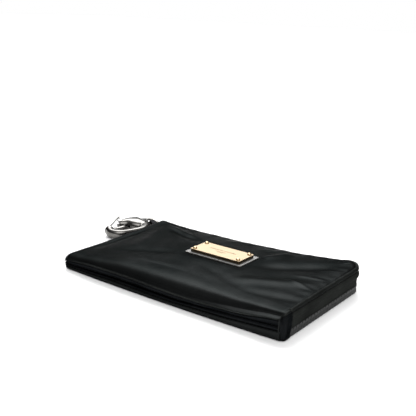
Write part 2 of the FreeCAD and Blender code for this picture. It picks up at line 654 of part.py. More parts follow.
def gate():
    """Gate lever with its thumb bow, the rivet pin and the torsion spring round it."""
    low, high = "gate_low", "gate_high"
    bars = [
        rod("gate_eye", str(PIVOT[0]), str(PIVOT[1]), (low, high), "pin_radius + 1.6"),
        bar_between("gate_root", PIVOT, GATE_ROOT, 3.6, low, high),
        bar_between("gate_arm", GATE_ROOT, GATE_TIP, 3.2, low, high),
        bar_between("gate_toe", GATE_TIP, BOW_END, 1.8, low, high),
        bar_between("gate_bow", BOW_END, BOW_TOP, 1.5, low, high),
        bar_between("gate_leg", BOW_TOP, PIVOT, 2.2, low, high),
    ]
    bore = rod("gate_bore_rod", str(PIVOT[0]), str(PIVOT[1]), ("0", "hook_thick"), "gate_bore")
    lever = node(cut("gate_lever", fuse("gate_bars", *bars), bore), "hook_gate")
    lever.Placement = hook_place()
    shank = rod("pin_shank", str(PIVOT[0]), str(PIVOT[1]), ("0", "hook_thick"), "pin_radius")
    head = rod("pin_head_disc", str(PIVOT[0]), str(PIVOT[1]), ("hook_thick", "hook_thick + 0.5"), "pin_head")
    pin = node(fuse("pin_fuse", shank, head), "gate_pin")
    pin.Placement = hook_place()
    coil = rod("spring_coil", str(PIVOT[0]), str(PIVOT[1]), ("cheek_thick + 0.1", "gate_low - 0.1"),
               "pin_radius + 1.1")
    room = rod("spring_room", str(PIVOT[0]), str(PIVOT[1]), ("0", "hook_thick"), "pin_radius + 0.3")
    spring = node(cut("spring_ring", coil, room), "gate_spring")
    spring.Placement = hook_place()


back_half()
front_half()
gussets()
tapes()
teeth()
stops()
slider()
puller()
nameplate()
tab()
hook_body()
gate()
doc.recompute()

for item in doc.Objects:
    if "Invalid" in item.State or "Error" in item.State:
        raise RuntimeError(f"{item.Name} did not compute: {item.State}")
for item in nodes:
    if item.Shape.isNull() or not item.Shape.isValid() or not item.Shape.Solids:
        raise RuntimeError(f"{item.Label} has no valid solid")

os.makedirs("parts", exist_ok=True)
for item in nodes:
    item.Shape.exportStep(os.path.join("parts", item.Label + ".step"))
    box = item.Shape.BoundBox
    print(f"{item.Label}: {len(item.Shape.Solids)} solids, {item.Shape.Volume:.0f} mm3, "
          f"x {box.XMin:.1f}..{box.XMax:.1f}, y {box.YMin:.1f}..{box.YMax:.1f}, z {box.ZMin:.1f}..{box.ZMax:.1f}")
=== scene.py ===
"""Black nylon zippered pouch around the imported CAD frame: cloth shells, zip, nameplate and hook.

The pouch lies flat.  X runs along it to the zip side, Y away from the folded near edge, Z up.
Lengths in the tables below are millimetres; MM turns them into metres as the meshes are made.
"""
import math

import bpy
import bmesh
import numpy as np
from mathutils import Matrix, Vector


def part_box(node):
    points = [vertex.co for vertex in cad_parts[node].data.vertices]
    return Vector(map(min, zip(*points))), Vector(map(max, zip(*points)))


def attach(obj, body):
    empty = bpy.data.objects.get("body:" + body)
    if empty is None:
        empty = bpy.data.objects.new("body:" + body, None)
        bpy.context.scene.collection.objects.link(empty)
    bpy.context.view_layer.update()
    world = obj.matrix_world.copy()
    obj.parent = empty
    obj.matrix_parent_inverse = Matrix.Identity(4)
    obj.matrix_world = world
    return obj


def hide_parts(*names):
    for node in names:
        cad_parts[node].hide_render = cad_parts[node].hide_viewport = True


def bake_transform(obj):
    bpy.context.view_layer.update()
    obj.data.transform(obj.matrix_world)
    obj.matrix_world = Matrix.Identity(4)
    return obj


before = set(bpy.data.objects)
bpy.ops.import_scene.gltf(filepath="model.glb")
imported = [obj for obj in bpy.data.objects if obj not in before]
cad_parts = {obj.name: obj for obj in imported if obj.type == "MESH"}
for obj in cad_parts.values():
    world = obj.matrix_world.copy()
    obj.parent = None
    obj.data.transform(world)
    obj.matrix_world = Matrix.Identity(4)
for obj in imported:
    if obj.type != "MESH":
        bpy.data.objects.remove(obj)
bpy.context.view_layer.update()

MM = 0.001
HALF_LENGTH, HALF_WIDTH, CORNER = 80.0, 48.0, 14.0
UNDER_PLATE = 14.96
TOOTH_PITCH = 3.3

# Heights of the cloth, as (x, z) points joined by smooth curves.
FAR_EDGE = [(-82, 11.3), (-70, 11.0), (-62, 10.4), (-40, 9.9), (-11, 10.3), (5, 10.8), (34, 12.3),
            (59, 14.6), (70, 16.0), (82, 16.4)]
MIDDLE = [(-82, 9.7), (-70, 10.6), (-55, 12.4), (-35, 14.0), (-16, 14.9), (5, 15.0), (27, 15.0), (50, 15.0),
          (66, 15.3), (82, 15.6)]
NEAR_TOP = [(-82, 9.4), (-70, 10.2), (-50, 11.9), (-25, 13.5), (0, 14.2), (30, 14.6), (55, 14.8), (70, 15.2),
            (82, 15.6)]
NEAR_ROLL = [(-82, 9.0), (-60, 14.0), (0, 17.0), (30, 16.0), (60, 13.0), (82, 9.0)]
UPPER_RIDGE = [(-82, 5.4), (-72, 6.6), (-56, 8.1), (-28, 8.8), (-13, 8.5), (12, 7.8), (29, 7.9), (42, 8.5),
               (52, 8.9), (60, 9.8), (70, 11.6), (82, 12.4)]
GAP_HEIGHT = [(-82, 3.0), (-60, 3.5), (-37, 4.5), (-10, 4.3), (10, 4.0), (30, 5.0), (55, 6.3), (82, 8.0)]
GAP_DEPTH = [(-82, 0.8), (-68, 1.6), (-55, 4.5), (-20, 5.5), (5, 4.5), (22, 2.2), (40, 1.0), (82, 0.8)]
LOWER_RIDGE = [(-82, 2.0), (-60, 2.2), (-37, 2.9), (-10, 2.6), (4, 2.2), (25, 2.9), (42, 3.3), (57, 4.2),
               (82, 5.4)]

# Soft folds of the front panel: from (x, y) to (x, y), half width, height (negative for a valley).
FOLDS = [
    (-72, 22, -72, -26, 3.5, -0.9), (-66, 36, -50, -8, 5.0, 0.9), (-62, 37, -37, 27, 2.6, 0.9),
    (-52, 31, -25, 19, 3.4, -1.1), (-10, 36, 6, 42, 2.2, 0.5), (16, 33, 34, 42, 2.4, 0.5),
    (28, 17, 33, 37, 3.6, 0.8), (36, 4, 68, 29, 6.0, -1.3), (36, -24, 72, -4, 4.5, 0.9),
    (58, 3, 74, 6, 1.8, 0.45), (56, -6, 75, -12, 1.6, 0.35), (60, 20, 75, 24, 1.8, 0.3),
    (-20, -12, -52, -24, 5.0, -0.5), (10, -20, 44, -33, 4.0, -0.4), (44, -36, 74, -30, 4.5, -0.6),
    (-2, -30, -40, -36, 4.5, 0.5),
]


def curve_of(points):
    """Smooth height along x through a short list of points."""
    xs, zs = np.array(points, float).T
    window = np.linspace(-6, 6, 13)
    weights = np.cos(window / 6.5 * math.pi / 2)
    weights /= weights.sum()

    def height(x):
        x = np.asarray(x, float)
        return sum(w * np.interp(x + d, xs, zs) for w, d in zip(weights, window))
    return height


far_edge, middle, near_top = curve_of(FAR_EDGE), curve_of(MIDDLE), curve_of(NEAR_TOP)
upper_ridge, lower_ridge, near_roll = curve_of(UPPER_RIDGE), curve_of(LOWER_RIDGE), curve_of(NEAR_ROLL)
gap_height, gap_depth = curve_of(GAP_HEIGHT), curve_of(GAP_DEPTH)


def near_line(x):
    """Y of the near side, which bellies out between its ends."""
    return -HALF_WIDTH - 2.4 * np.clip(1 - ((np.asarray(x, float) - 12) / 92) ** 2, 0, 1)


def ease(t):
    t = np.clip(t, 0, 1)
    return t * t * (3 - 2 * t)


def plate_centre():
    low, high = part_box("nameplate_base")
    return (low + high) / 2 / MM, (high - low) / 2 / MM


PLATE_MID, PLATE_HALF = plate_centre()


def plate_mask(x, y, spread):
    """1 under the nameplate, falling to 0 within spread of its edge."""
    dx = np.maximum(np.abs(x - PLATE_MID.x) - PLATE_HALF.x, 0)
    dy = np.maximum(np.abs(y - PLATE_MID.y) - PLATE_HALF.y, 0)
    return 1 - ease(np.hypot(dx, dy) / spread)


def fold_height(x, y):
    """Sum of the panel's soft folds."""
    total = np.zeros_like(x)
    for x0, y0, x1, y1, width, height in FOLDS:
        run = np.array([x1 - x0, y1 - y0], float)
        length = np.hypot(*run)
        run /= length
        along = ((x - x0) * run[0] + (y - y0) * run[1]) / length
        across = (x - x0) * -run[1] + (y - y0) * run[0]
        taper = ease((along + 0.25) / 0.5) * ease((1.25 - along) / 0.5)
        total += height * taper * np.exp(-(across / width) ** 2)
    return total


def zip_distance(x, y):
    """Distance in from the zip sides' outline."""
    inner_x, inner_y = HALF_LENGTH - CORNER, HALF_WIDTH - CORNER
    straight = np.minimum(HALF_LENGTH - x, HALF_WIDTH - y)
    in_corner = (x > inner_x) & (y > inner_y)
    return np.where(in_corner, CORNER - np.hypot(x - inner_x, y - inner_y), straight)


def pucker(x, y):
    """Small gathers that the zip seam pulls into the panel."""
    reach = np.exp(-np.maximum(zip_distance(x, y) - 2, 0) / 7)
    along = np.where(HALF_LENGTH - x < HALF_WIDTH - y, y, x + 31)
    wave = np.sin(along / 1.45) + 0.7 * np.sin(along / 2.3 + 1.3) + 0.6 * np.sin(along / 3.9 + 0.4)
    fade = ease((zip_distance(x, y) - 1.5) / 4)
    return 0.16 * wave * reach * fade


def panel_height(x, y):
    """Top of the front panel's cloth, away from its rolled edges."""
    near, mid, far = near_top(x), middle(x), far_edge(x) + 0.1
    t = np.clip((y + 42) / 88, 0, 1)
    chord = near * (1 - t) + far * t
    crown = mid - (near + far) / 2
    z = chord + crown * np.clip(1 - np.abs(2 * t - 1) ** 2.4, 0, 1)
    z += fold_height(x, y) * (1 - plate_mask(x, y, 7))
    z += 0.10 * np.sin(x / 7.1 + 0.5 * np.sin(y / 9)) * np.sin(y / 6.3 + 0.8)
    z += pucker(x, y)
    mask = plate_mask(x, y, 5)
    return z * (1 - mask) + UNDER_PLATE * mask


# ---------------------------------------------------------------- mesh helpers

def make_object(name, verts, faces, smooth=True):
    mesh = bpy.data.meshes.new(name)
    mesh.from_pydata([tuple(v) for v in np.asarray(verts, float) * MM], [], [tuple(f) for f in faces])
    mesh.update()
    mesh.polygons.foreach_set("use_smooth", [smooth] * len(mesh.polygons))
    made = bpy.data.objects.new(name, mesh)
    bpy.context.scene.collection.objects.link(made)
    return made


def grid_faces(rows, columns, wrap=False):
    """Quads of a grid of points stored row by row; wrap joins the last column to the first."""
    faces = []
    for r in range(rows - 1):
        for c in range(columns if wrap else columns - 1):
            d = (c + 1) % columns
            faces.append((r * columns + c, r * columns + d, (r + 1) * columns + d, (r + 1) * columns + c))
    return faces


def fix_normals(made):
    work = bmesh.new()
    work.from_mesh(made.data)
    bmesh.ops.recalc_face_normals(work, faces=work.faces)
    work.to_mesh(made.data)
    work.free()
    return made


def add_modifier(made, kind, **settings):
    modifier = made.modifiers.new(kind.title(), kind)
    for key, value in settings.items():
        setattr(modifier, key, value)
    return modifier


def apply_modifiers(made):
    """Bake an object's modifiers into its mesh."""
    bpy.context.view_layer.update()
    graph = bpy.context.evaluated_depsgraph_get()
    mesh = bpy.data.meshes.new_from_object(made.evaluated_get(graph))
    made.modifiers.clear()
    made.data = mesh
    return made


def tube(name, points, radius, sides=14, squeeze=1.0):
    """Closed round tube along points (mm), with capped ends; squeeze flattens it upwards."""
    points = np.asarray(points, float)
    tangents = np.gradient(points, axis=0)
    tangents /= np.linalg.norm(tangents, axis=1)[:, None]
    radii = np.broadcast_to(radius, len(points))
    side = np.array([1.0, 0.3, 0.0])
    verts = []
    for spot, ahead, radius in zip(points, tangents, radii):
        side = side - ahead * np.dot(side, ahead)
        side /= np.linalg.norm(side)
        rise = np.cross(side, ahead)
        for k in range(sides):
            angle = 2 * math.pi * k / sides
            verts.append(spot + radius * (math.cos(angle) * side + math.sin(angle) * rise * squeeze))
    faces = grid_faces(len(points), sides, wrap=True)
    faces.append(tuple(range(sides))[::-1])
    faces.append(tuple(range((len(points) - 1) * sides, len(points) * sides)))
    return fix_normals(make_object(name, verts, faces))


def strip(name, sections, thickness=0.0):
    """Sheet through a list of equal-length profiles, with a thickness in millimetres if one is given."""
    rows, columns = len(sections), len(sections[0])
    verts = np.concatenate([np.asarray(s, float) for s in sections])
    made = fix_normals(make_object(name, verts, grid_faces(rows, columns)))
    if thickness:
        add_modifier(made, "SOLIDIFY", thickness=thickness * MM, offset=0.0)
        apply_modifiers(made)
    return made


def box_mesh(size, centre=(0, 0, 0)):
    """Corner points and faces of a box, for small hardware."""
    sx, sy, sz = (s / 2 for s in size)
    corners = [(x, y, z) for x in (-sx, sx) for y in (-sy, sy) for z in (-sz, sz)]
    verts = [(centre[0] + x, centre[1] + y, centre[2] + z) for x, y, z in corners]
    faces = [(0, 1, 3, 2), (4, 6, 7, 5), (0, 4, 5, 1), (2, 3, 7, 6), (0, 2, 6, 4), (1, 5, 7, 3)]
    return verts, faces


# ---------------------------------------------------------------- zip line

def zip_line(inset, start_y, end_x, step=0.8):
    """Stations along the right side, the corner and the far side: x, y, outward x, outward y."""
    radius = CORNER - inset
    cx, cy = HALF_LENGTH - CORNER, HALF_WIDTH - CORNER
    stations = []
    for y in np.linspace(start_y, cy, max(2, int((cy - start_y) / step))):
        stations.append((HALF_LENGTH - inset, y, 1.0, 0.0))
    for angle in np.linspace(0, math.pi / 2, 30)[1:]:
        c, s = math.cos(angle), math.sin(angle)
        stations.append((cx + radius * c, cy + radius * s, c, s))
    for x in np.linspace(cx, end_x, max(2, int((cx - end_x) / step)))[1:]:
        stations.append((x, HALF_WIDTH - inset, 0.0, 1.0))
    return np.array(stations)


def edge_top(x, y):
    """Top of the piping: level on the right side, lower than the cloth along the far side."""
    far_share = ease((y - 20) / 24)
    tuck = 1.4 * ease((HALF_LENGTH - 6 - x) / 20)
    return (far_edge(x) - tuck) * far_share + 16.2 * (1 - far_share)


def chain_drop(x):
    """How far the tooth rows hang below their level at the slider, round the corner and the right side."""
    return 2.0 * ease((x - 65.5) / 13.5)


# ---------------------------------------------------------------- materials

def new_material(name):
    made = bpy.data.materials.new(name)
    made.use_nodes = True
    nodes = made.node_tree.nodes
    return made, nodes, made.node_tree.links, nodes["Principled BSDF"]


def object_coords(nodes, links, scale):
    coords = nodes.new("ShaderNodeTexCoord")
    mapping = nodes.new("ShaderNodeMapping")
    mapping.inputs["Scale"].default_value = scale
    links.new(coords.outputs["Object"], mapping.inputs["Vector"])
    return mapping.outputs["Vector"]


def cloth_material(name, dark, light, rough, gloss_share, weave_mm=0.32, bump=0.35, crumple=0.0):
    """Woven nylon: fine crossing yarns in the bump, cloudy colour, and satin gloss.

    Yarns are as glossy seen along the cloth as from above, which the edge-tinted metallic lobe gives."""
    made, nodes, links, shader = new_material(name)
    per_metre = 1 / (weave_mm * MM)
    waves = []
    for turn in ((0, 0, math.radians(45)), (0, 0, math.radians(-45))):
        vector = object_coords(nodes, links, (1, 1, 1))
        vector.node.inputs["Rotation"].default_value = turn
        wave = nodes.new("ShaderNodeTexWave")
        wave.inputs["Scale"].default_value = per_metre / 20 * 6.28
        wave.inputs["Distortion"].default_value = 0.6
        wave.inputs["Detail"].default_value = 1.0
        links.new(vector, wave.inputs["Vector"])
        waves.append(wave)
    weave = nodes.new("ShaderNodeMath")
    weave.operation = "MULTIPLY"
    links.new(waves[0].outputs["Fac"], weave.inputs[0])
    links.new(waves[1].outputs["Fac"], weave.inputs[1])
    cloud = nodes.new("ShaderNodeTexNoise")
    cloud.inputs["Scale"].default_value = 45
    cloud.inputs["Detail"].default_value = 6
    links.new(object_coords(nodes, links, (1, 1, 1)), cloud.inputs["Vector"])
    ramp = nodes.new("ShaderNodeValToRGB")
    ramp.color_ramp.elements[0].position, ramp.color_ramp.elements[1].position = 0.35, 0.7
    ramp.color_ramp.elements[0].color = (*dark, 1)
    ramp.color_ramp.elements[1].color = (*light, 1)
    links.new(cloud.outputs["Fac"], ramp.inputs["Fac"])
    links.new(ramp.outputs["Color"], shader.inputs["Base Color"])
    gloss = nodes.new("ShaderNodeMapRange")
    gloss.inputs["To Min"].default_value = rough - 0.04
    gloss.inputs["To Max"].default_value = rough + 0.05
    links.new(cloud.outputs["Fac"], gloss.inputs["Value"])
    links.new(gloss.outputs["Result"], shader.inputs["Roughness"])
    shader.inputs["Metallic"].default_value = gloss_share
    shader.inputs["Specular IOR Level"].default_value = 0.0
    shader.inputs["Specular Tint"].default_value = (0.42, 0.42, 0.42, 1)
    fine = nodes.new("ShaderNodeBump")
    fine.inputs["Strength"].default_value = bump
    fine.inputs["Distance"].default_value = 0.00006
    links.new(weave.outputs[0], fine.inputs["Height"])
    broad = nodes.new("ShaderNodeBump")
    broad.inputs["Strength"].default_value = crumple
    broad.inputs["Distance"].default_value = 0.0008
    creases = nodes.new("ShaderNodeTexNoise")
    creases.inputs["Scale"].default_value = 130
    creases.inputs["Detail"].default_value = 3
    creases.inputs["Distortion"].default_value = 0.4
    links.new(object_coords(nodes, links, (1, 1, 1.6)), creases.inputs["Vector"])
    links.new(creases.outputs["Fac"], broad.inputs["Height"])
    links.new(broad.outputs["Normal"], fine.inputs["Normal"])
    links.new(fine.outputs["Normal"], shader.inputs["Normal"])
    return made


def metal_material(name, colour, rough, scratch=0.06, stretch=(40, 400, 400), metallic=1.0, tint=0.85):
    """Plated metal: brushed roughness, faint colour change and fine scratches."""
    made, nodes, links, shader = new_material(name)
    grain = nodes.new("ShaderNodeTexNoise")
    grain.inputs["Scale"].default_value = 9
    grain.inputs["Detail"].default_value = 8
    links.new(object_coords(nodes, links, stretch), grain.inputs["Vector"])
    ramp = nodes.new("ShaderNodeValToRGB")
    ramp.color_ramp.elements[0].color = (*[c * tint for c in colour], 1)
    ramp.color_ramp.elements[1].color = (*colour, 1)
    links.new(grain.outputs["Fac"], ramp.inputs["Fac"])
    links.new(ramp.outputs["Color"], shader.inputs["Base Color"])
    span = nodes.new("ShaderNodeMapRange")
    span.inputs["To Min"].default_value = max(0.02, rough - scratch)
    span.inputs["To Max"].default_value = rough + scratch
    links.new(grain.outputs["Fac"], span.inputs["Value"])
    links.new(span.outputs["Result"], shader.inputs["Roughness"])
    bump = nodes.new("ShaderNodeBump")
    bump.inputs["Strength"].default_value = 0.12
    bump.inputs["Distance"].default_value = 0.00004
    links.new(grain.outputs["Fac"], bump.inputs["Height"])
    links.new(bump.outputs["Normal"], shader.inputs["Normal"])
    shader.inputs["Metallic"].default_value = metallic
    return made


def plastic_material(name, colour, rough, shine=0.5):
    """Moulded plastic: slight mottling and a soft orange-peel bump."""
    made, nodes, links, shader = new_material(name)
    mottle = nodes.new("ShaderNodeTexNoise")
    mottle.inputs["Scale"].default_value = 900
    mottle.inputs["Detail"].default_value = 4
    links.new(object_coords(nodes, links, (1, 1, 1)), mottle.inputs["Vector"])
    ramp = nodes.new("ShaderNodeValToRGB")
    ramp.color_ramp.elements[0].color = (*[c * 0.8 for c in colour], 1)
    ramp.color_ramp.elements[1].color = (*[c * 1.2 for c in colour], 1)
    links.new(mottle.outputs["Fac"], ramp.inputs["Fac"])
    links.new(ramp.outputs["Color"], shader.inputs["Base Color"])
    shader.inputs["Roughness"].default_value = rough
    shader.inputs["Specular IOR Level"].default_value = shine
    bump = nodes.new("ShaderNodeBump")
    bump.inputs["Strength"].default_value = 0.15
    bump.inputs["Distance"].default_value = 0.00005
    links.new(mottle.outputs["Fac"], bump.inputs["Height"])
    links.new(bump.outputs["Normal"], shader.inputs["Normal"])
    return made


NYLON = cloth_material("satin_nylon", (0.012, 0.013, 0.013), (0.017, 0.018, 0.018), 0.34, 0.85, crumple=0.10)
WELT = cloth_material("welt_nylon", (0.016, 0.017, 0.0165), (0.024, 0.026, 0.025), 0.38, 0.8, crumple=0.12)
# Gusset cloth: a darker copy of the panel nylon, which is painted shade on the near folds, the left fold and
# the near right corner.
GUSSET_PAINTED_SHADE = cloth_material("gusset_nylon_painted_shade", (0.0068, 0.0074, 0.0080), (0.0115, 0.0125, 0.0138), 0.36, 0.8,
                        crumple=0.15)
LINING = cloth_material("lining_cloth", (0.020, 0.020, 0.021), (0.035, 0.035, 0.038), 0.7, 0.2,
                        weave_mm=0.5, bump=0.6)
# Zip tape: its own dark woven cloth, lifted lighter than the panel nylon as painted light for the lit right
# side.
TAPE_PAINTED_LIGHT = cloth_material("zip_tape_cloth_painted_light", (0.016, 0.017, 0.016), (0.028, 0.030, 0.028), 0.6, 0.5,
                      weave_mm=0.6, bump=0.9)
WEBBING = cloth_material("webbing_cloth", (0.014, 0.014, 0.015), (0.03, 0.03, 0.032), 0.6, 0.4,
                         weave_mm=0.9, bump=1.0)
TEETH = plastic_material("tooth_plastic", (0.016, 0.017, 0.0165), 0.5, shine=0.22)
ENAMEL = plastic_material("black_enamel", (0.012, 0.012, 0.013), 0.25)
GOLD = metal_material("satin_gold", (0.43, 0.325, 0.20), 0.46, stretch=(20, 500, 300), metallic=0.5)
# Sides of the gold face: a darker copy of the satin gold, which is painted shade.
GOLD_SIDE_PAINTED_SHADE = metal_material("gold_side_painted_shade", (0.10, 0.075, 0.045), 0.45)
SILVER = metal_material("brushed_silver", (0.15, 0.148, 0.143), 0.45, stretch=(20, 500, 300), metallic=0.6)
SCREW = metal_material("screw_gold", (0.62, 0.46, 0.27), 0.22)
ENGRAVED = metal_material("engraved_gold", (0.22, 0.16, 0.10), 0.5)
GUNMETAL = metal_material("gunmetal", (0.155, 0.15, 0.142), 0.22, stretch=(60, 60, 60), tint=0.7)
RIVET = metal_material("rivet_steel", (0.62, 0.61, 0.6), 0.18)


def dress(made, material, body, slot, *nodes):
    """Give a piece its material, body and the CAD nodes that it stands for; the slot argument is not used."""
    made.data.materials.clear()
    made.data.materials.append(material)
    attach(made, body)
    if nodes:
        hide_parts(*nodes)
    return made


# ---------------------------------------------------------------- cloth shells

LEFT_ROLL, LEFT_SEAM = 6.0, 4.4
LEFT_LINE = -80.6
PIPE_INSET = 0.9
SEAM_X = 77.0
SHELF = [(-82, 0.3), (-40, 0.3), (10, 0.4), (30, 1.0), (50, 2.4), (68, 2.8), (82, 2.2)]
shelf_width = curve_of(SHELF)


def chaikin(points, times=2):
    """Corner-cut a list of knots (arrays of the same shape) into a smooth run of them."""
    points = np.asarray(points, float)
    for _ in range(times):
        cut = np.empty((2 * len(points) - 2,) + points.shape[1:])
        cut[0::2] = 0.75 * points[:-1] + 0.25 * points[1:]
        cut[1::2] = 0.25 * points[:-1] + 0.75 * points[1:]
        points = np.concatenate([points[:1], cut, points[-1:]])
    return points


def roll_profile(x):
    """Near roll at each x: distance in from the edge, share of the drop left, and millimetres below."""
    shelf = shelf_width(x)
    zero = np.zeros_like(shelf)
    reach = near_roll(x)
    knots = [
        (reach, zero + 1.0, zero),
        (0.72 * reach, zero + 0.985, zero),
        (0.46 * reach, zero + 0.92, zero),
        (0.25 * reach + 0.3 * shelf, zero + 0.76, zero),
        (0.08 * reach + 0.85 * shelf, zero + 0.46, zero),
        (shelf + 0.4, zero + 0.06 + 0.08 * shelf, zero),
        (0.7 * shelf + 0.2, zero + 0.04 + 0.06 * shelf, zero),
        (zero, zero + 0.01, zero),
        (zero - 0.1, zero, zero + 0.5),
        (zero + 0.7, zero, zero + 0.9),
        (zero + 1.6, zero, zero + 0.9),
    ]
    return chaikin(np.array(knots), 2)


def right_boundary(drop_share):
    """X of the front cloth's right edge: along the piping, then in to the corner seam as it rolls down."""
    return HALF_LENGTH - PIPE_INSET - (HALF_LENGTH - PIPE_INSET - SEAM_X) * ease(1.15 * drop_share)


def corner_plan(x, y, cx, cy, radius, sx, sy):
    """Pull the points of a square plan corner onto a round one."""
    dx, dy = (x - cx) * sx, (y - cy) * sy
    inside = (dx > 0) & (dy > 0)
    longest, far = np.maximum(dx, dy), np.hypot(dx, dy)
    scale = np.where(inside & (far > 0), longest / np.maximum(far, 1e-6), 1.0)
    return cx + sx * dx * scale, cy + sy * dy * scale


def front_rows():
    """Front cloth as rows of points, from the lip under the near ridge to the far seam."""
    left_phi = np.radians(np.linspace(90, 0, 12, endpoint=False))
    phi = np.concatenate([left_phi, np.zeros(200)])
    share_x = np.linspace(0, 1, 200)
    start_x = LEFT_LINE + LEFT_ROLL
    far_y = HALF_WIDTH - PIPE_INSET
    base_x = np.concatenate([LEFT_LINE + LEFT_ROLL * (1 - np.sin(left_phi)),
                             start_x + (HALF_LENGTH - PIPE_INSET - start_x) * share_x])
    profile = roll_profile(base_x)[::-1]
    rows = []
    for j in range(len(profile) + 130):
        if j < len(profile):
            offset, share, below = profile[j]
        else:
            offset, share, below = near_roll(base_x), 1.0, 0.0
        drop_share = float(np.max(1 - share))
        right_x = right_boundary(drop_share)
        x = np.concatenate([base_x[:12], start_x + (right_x - start_x) * share_x])
        edge = near_line(x) - 0.6
        y = edge + offset
        if j >= len(profile):
            y = y + (far_y - y) * (j - len(profile) + 1) / 130
        x, y = corner_plan(x, y, HALF_LENGTH - CORNER, HALF_WIDTH - CORNER, CORNER, 1, 1)
        inner_y = np.maximum(y, edge + near_roll(base_x))
        top = panel_height(x, inner_y)
        rim = ease((3.6 - zip_distance(x, inner_y)) / 2.7)
        top = top * (1 - rim) + (edge_top(x, inner_y) - 1.3) * rim
        drop_near = (top - upper_ridge(x)) * (1 - share) + below
        drop_left = (top - LEFT_SEAM) * (1 - np.cos(phi))
        z = np.maximum(top - np.hypot(drop_near, drop_left * ease((y + 56) / 12)), LEFT_SEAM - 0.3)
        x, y = corner_plan(x, y, LEFT_LINE + 5, -HALF_WIDTH + 4, 5, -1, -1)
        rows.append(np.stack([x, y, z], 1))
    return rows, len(profile)


FRONT_ROWS, ROLL_ROWS = front_rows()


def front_sheet():
    """Front panel: crowned satin cloth that rolls over its near and left edges."""
    made = strip("front_cloth", FRONT_ROWS)
    add_modifier(made, "SOLIDIFY", thickness=0.6 * MM, offset=-1.0)
    apply_modifiers(made)
    return dress(made, NYLON, "front_half", "nylon", "front_panel")


def ridge_seam():
    """Narrow stitched-down edge where the front cloth turns under, along the near ridge."""
    xs = np.linspace(-70, SEAM_X - 1, 160)
    wave = 0.06 * np.sin(xs / 1.1)
    points = np.stack([xs, near_line(xs) - 0.75 + wave, upper_ridge(xs) - 0.12 + 0.5 * wave], 1)
    radius = np.interp(xs, [-70, -60, 20, 50], [0.1, 0.42, 0.42, 0.3])
    return dress(tube("ridge_seam", points, radius, 10), WELT, "front_half", "nylon_welt")


def right_roll_line():
    """The front cloth's right edge from the near ridge up to the level panel."""
    ridge_row = int(ROLL_ROWS * 0.3)
    return np.array([row[-1] for row in FRONT_ROWS[ridge_row:ROLL_ROWS]])


def back_sheet():
    """Back panel: flat underneath, with an upright band along its near edge and a turned-up left edge."""
    xs = np.linspace(LEFT_LINE + 1, HALF_LENGTH - 2.2, 120)
    line, low, zero = near_line(xs), lower_ridge(xs), np.zeros_like(xs)
    knots = np.array([(zero + 1.4, low - 0.5), (zero + 0.5, low), (zero - 0.25, low + 0.05),
                      (zero - 0.6, low - 0.4),
                      (zero - 0.75, 0.5 * low + 0.1), (zero - 0.5, zero + 0.5), (zero + 0.3, zero + 0.08),
                      (zero + 1.6, zero), (zero + 5.0, zero)])
    rows = [(xs, line + offset, z) for offset, z in chaikin(knots, 2)]
    for t in np.linspace(0, 1, 60)[1:]:
        rows.append((xs, line + 5.0 + (HALF_WIDTH - 2.2 - line - 5.0) * t, zero))
    sections = []
    for x, y, z in rows:
        x, y = corner_plan(x, y, HALF_LENGTH - CORNER, HALF_WIDTH - CORNER, CORNER, 1, 1)
        left = 1 - ease((x - LEFT_LINE - 1) / 5.0)
        x, y = corner_plan(x, y, LEFT_LINE + 5, -HALF_WIDTH + 4, 5, -1, -1)
        sections.append(np.stack([x, y, np.maximum(z, 3.9 * left ** 2) + 0.02], 1))
    made = strip("back_cloth", sections)
    add_modifier(made, "SOLIDIFY", thickness=0.5 * MM, offset=-1.0)
    apply_modifiers(made)
    return dress(made, NYLON, "back_half", "nylon", "back_panel")


def bellows():
    """Folded bottom gusset between the two rolled edges."""
    sections = []
    for x in np.linspace(LEFT_LINE + 0.7, HALF_LENGTH - 2.4, 190):
        line, up, low = near_line(x), upper_ridge(x), lower_ridge(x)
        gap, depth = gap_height(x), gap_depth(x)
        wobble = 0.25 * math.sin(x / 5.3) + 0.18 * math.sin(x / 2.9 + 1)
        lip = min(0.55, 0.3 * (gap - low), 0.3 * (up - gap))
        bulge = gap + 0.5 * (up - gap) + wobble
        knots = [(line + 1.1, low - 0.5), (line + 0.5, low + 0.1), (line + 0.1, low + 0.7),
                 (line + 0.3, gap - lip), (line + 0.4 + depth, gap), (line + 0.3, gap + lip),
                 (line - 0.2, bulge), (line - 0.1, up - 1.2), (line + 0.5, up - 0.3)]
        knots = np.array([(float(a), float(b)) for a, b in knots])
        t = np.linspace(0, len(knots) - 1, 36)
        ys = np.interp(t, np.arange(len(knots)), knots[:, 0])
        zs = np.interp(t, np.arange(len(knots)), knots[:, 1])
        for _ in range(3):
            ys[1:-1] = (ys[:-2] + ys[2:] + 2 * ys[1:-1]) / 4
            zs[1:-1] = (zs[:-2] + zs[2:] + 2 * zs[1:-1]) / 4
        xs, ys = corner_plan(np.full(36, x), ys, LEFT_LINE + 5.4, -HALF_WIDTH + 4.4, 5, -1, -1)
        sections.append(np.stack([xs, ys, zs], 1))
    made = strip("bottom_bellows", sections, thickness=0.35)
    # The darker gusset cloth is painted shade on the near folds.
    made.data.materials.append(GUSSET_PAINTED_SHADE)
    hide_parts("bottom_gusset")
    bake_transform(made)
    return made


